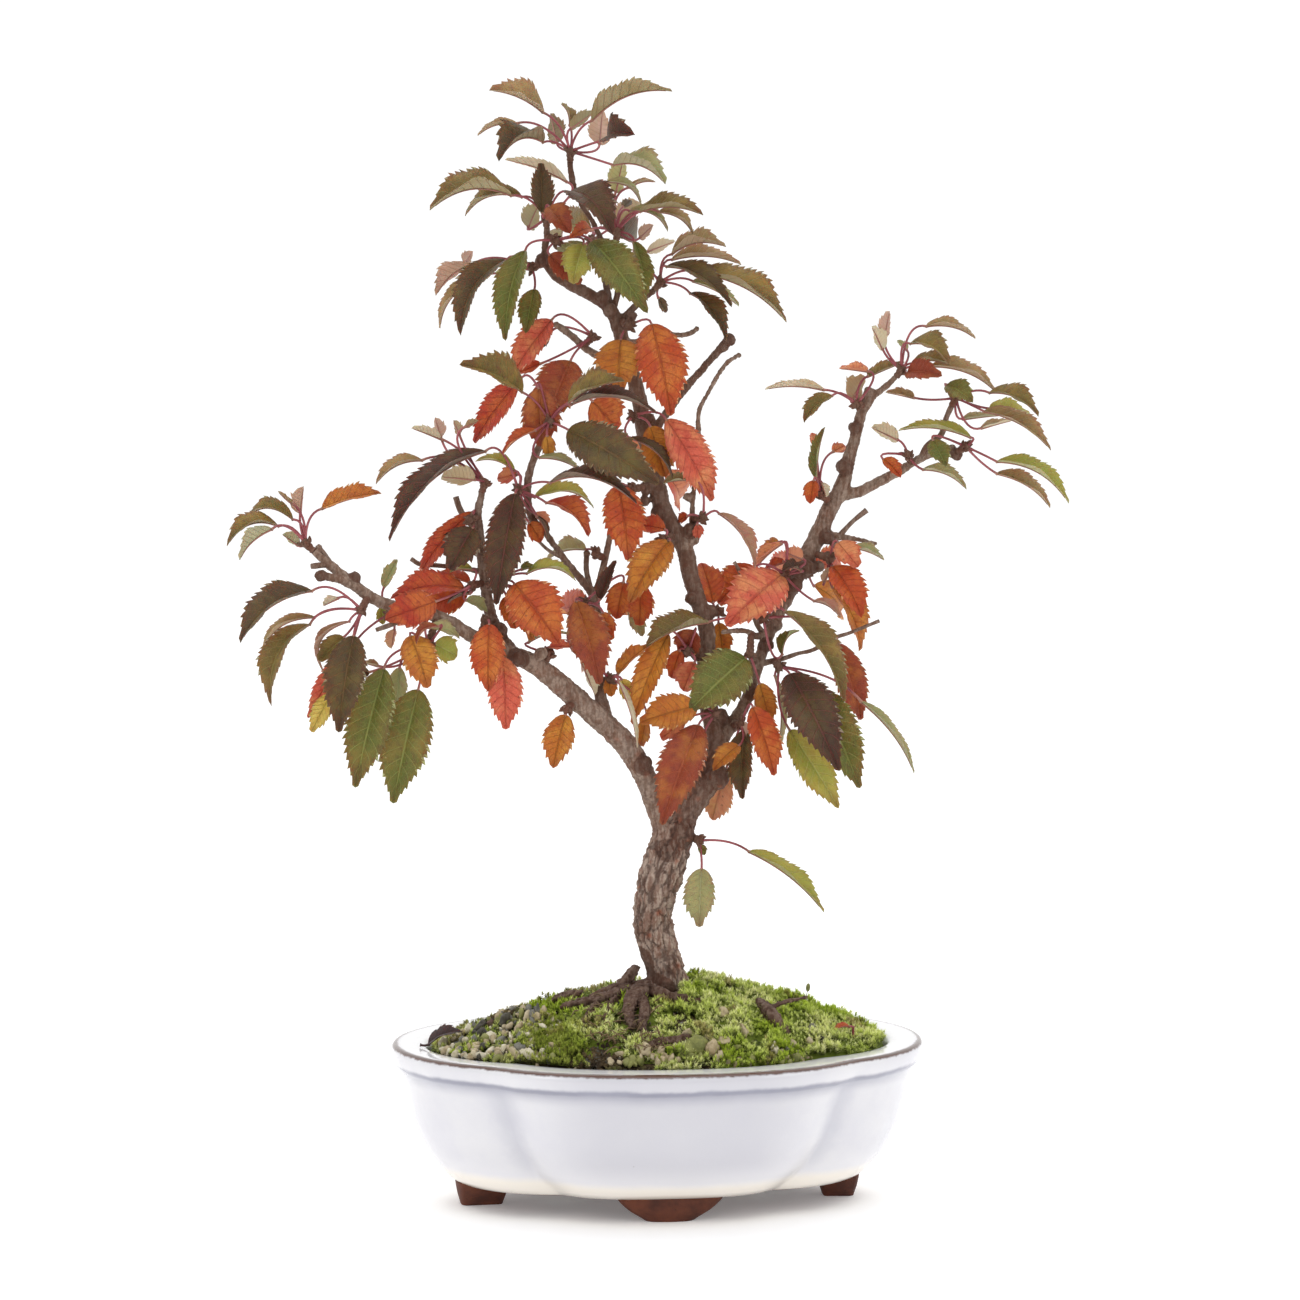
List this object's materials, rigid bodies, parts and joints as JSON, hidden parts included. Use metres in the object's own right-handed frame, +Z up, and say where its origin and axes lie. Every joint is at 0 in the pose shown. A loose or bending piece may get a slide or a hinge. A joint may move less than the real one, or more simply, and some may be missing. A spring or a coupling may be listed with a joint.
{
  "type": "cherry bonsai in a pot",
  "caption": "Small-leaved cherry bonsai in autumn colour, standing in soil and moss in a low white glazed lobed pot on clay feet.",
  "frame": {"origin": "bottom centre of the bounding box, on the surface that the pot's feet stand on", "axes": "+Z up the tree, -Y the viewing front, +X to the right as seen from the front"},
  "size_m": [0.319, 0.165, 0.4274],
  "materials": {
    "dead_stub": "weathered bark",
    "drain_screen_left": "green mesh",
    "drain_screen_right": "green mesh",
    "fallen_leaf": "dry fallen leaf",
    "moss_back": "living moss, soft",
    "moss_front": "living moss, soft",
    "moss_right": "living moss, soft",
    "pot": "white glaze, gloss",
    "seedling": "seedling stalk and leaf",
    "soil": "dark granular soil with grit",
    "spray_arm_knob": "autumn leaves and their buds",
    "spray_arm_mid": "autumn leaves and their buds",
    "spray_arm_twig": "autumn leaves and their buds",
    "spray_back_crown": "autumn leaves and their buds",
    "spray_back_leader": "autumn leaves and their buds",
    "spray_back_mid": "autumn leaves and their buds",
    "spray_back_right": "autumn leaves and their buds",
    "spray_branch_back": "autumn leaves and their buds",
    "spray_branch_fork": "autumn leaves and their buds",
    "spray_branch_gold": "autumn leaves and their buds",
    "spray_branch_head": "autumn leaves and their buds",
    "spray_branch_low": "autumn leaves and their buds",
    "spray_crown_left": "autumn leaves and their buds",
    "spray_crown_low": "autumn leaves and their buds",
    "spray_crown_mid": "autumn leaves and their buds",
    "spray_crown_right": "autumn leaves and their buds",
    "spray_crown_tip": "autumn leaves and their buds",
    "spray_fork_cluster": "autumn leaves and their buds",
    "spray_inner_end": "autumn leaves and their buds",
    "spray_inner_fork": "autumn leaves and their buds",
    "spray_inner_low": "autumn leaves and their buds",
    "spray_inner_top": "autumn leaves and their buds",
    "spray_leader_front": "autumn leaves and their buds",
    "spray_leader_gold": "autumn leaves and their buds",
    "spray_leader_left": "autumn leaves and their buds",
    "spray_leader_low": "autumn leaves and their buds",
    "spray_leader_mid": "autumn leaves and their buds",
    "spray_leader_orange": "autumn leaves and their buds",
    "spray_leader_right": "autumn leaves and their buds",
    "spray_left_bronze": "autumn leaves and their buds",
    "spray_left_coral": "autumn leaves and their buds",
    "spray_left_green": "autumn leaves and their buds",
    "spray_left_tip": "autumn leaves and their buds",
    "spray_low_cluster": "autumn leaves and their buds",
    "spray_low_right": "autumn leaves and their buds",
    "spray_low_twig_spur": "autumn leaves and their buds",
    "spray_mid_left": "autumn leaves and their buds",
    "spray_mottled": "autumn leaves and their buds",
    "spray_right_left_spur": "autumn leaves and their buds",
    "spray_right_spur": "autumn leaves and their buds",
    "spray_shoot_tip": "autumn leaves and their buds",
    "spray_trunk_sprout": "autumn leaves and their buds",
    "spray_twig_knob": "autumn leaves and their buds",
    "spray_upper_right": "autumn leaves and their buds",
    "spray_upright_high": "autumn leaves and their buds",
    "spray_upright_left": "autumn leaves and their buds",
    "spray_upright_right": "autumn leaves and their buds",
    "spray_upright_top": "autumn leaves and their buds",
    "tree_wood": "cherry bark"
  },
  "bodies": {
    "root": {"dead_stub": "dead_stub", "drain_screen_left": "drain_screen_left", "drain_screen_right": "drain_screen_right", "fallen_leaf": "fallen_leaf", "moss_back": "moss_back", "moss_front": "moss_front", "moss_right": "moss_right", "pot": "pot", "seedling": "seedling", "soil": "soil", "spray_arm_knob": "spray_arm_knob", "spray_arm_mid": "spray_arm_mid", "spray_arm_twig": "spray_arm_twig", "spray_back_crown": "spray_back_crown", "spray_back_leader": "spray_back_leader", "spray_back_mid": "spray_back_mid", "spray_back_right": "spray_back_right", "spray_branch_back": "spray_branch_back", "spray_branch_fork": "spray_branch_fork", "spray_branch_gold": "spray_branch_gold", "spray_branch_head": "spray_branch_head", "spray_branch_low": "spray_branch_low", "spray_crown_left": "spray_crown_left", "spray_crown_low": "spray_crown_low", "spray_crown_mid": "spray_crown_mid", "spray_crown_right": "spray_crown_right", "spray_crown_tip": "spray_crown_tip", "spray_fork_cluster": "spray_fork_cluster", "spray_inner_end": "spray_inner_end", "spray_inner_fork": "spray_inner_fork", "spray_inner_low": "spray_inner_low", "spray_inner_top": "spray_inner_top", "spray_leader_front": "spray_leader_front", "spray_leader_gold": "spray_leader_gold", "spray_leader_left": "spray_leader_left", "spray_leader_low": "spray_leader_low", "spray_leader_mid": "spray_leader_mid", "spray_leader_orange": "spray_leader_orange", "spray_leader_right": "spray_leader_right", "spray_left_bronze": "spray_left_bronze", "spray_left_coral": "spray_left_coral", "spray_left_green": "spray_left_green", "spray_left_tip": "spray_left_tip", "spray_low_cluster": "spray_low_cluster", "spray_low_right": "spray_low_right", "spray_low_twig_spur": "spray_low_twig_spur", "spray_mid_left": "spray_mid_left", "spray_mottled": "spray_mottled", "spray_right_left_spur": "spray_right_left_spur", "spray_right_spur": "spray_right_spur", "spray_shoot_tip": "spray_shoot_tip", "spray_trunk_sprout": "spray_trunk_sprout", "spray_twig_knob": "spray_twig_knob", "spray_upper_right": "spray_upper_right", "spray_upright_high": "spray_upright_high", "spray_upright_left": "spray_upright_left", "spray_upright_right": "spray_upright_right", "spray_upright_top": "spray_upright_top", "tree_wood": "tree_wood"}
  },
  "joints": []
}
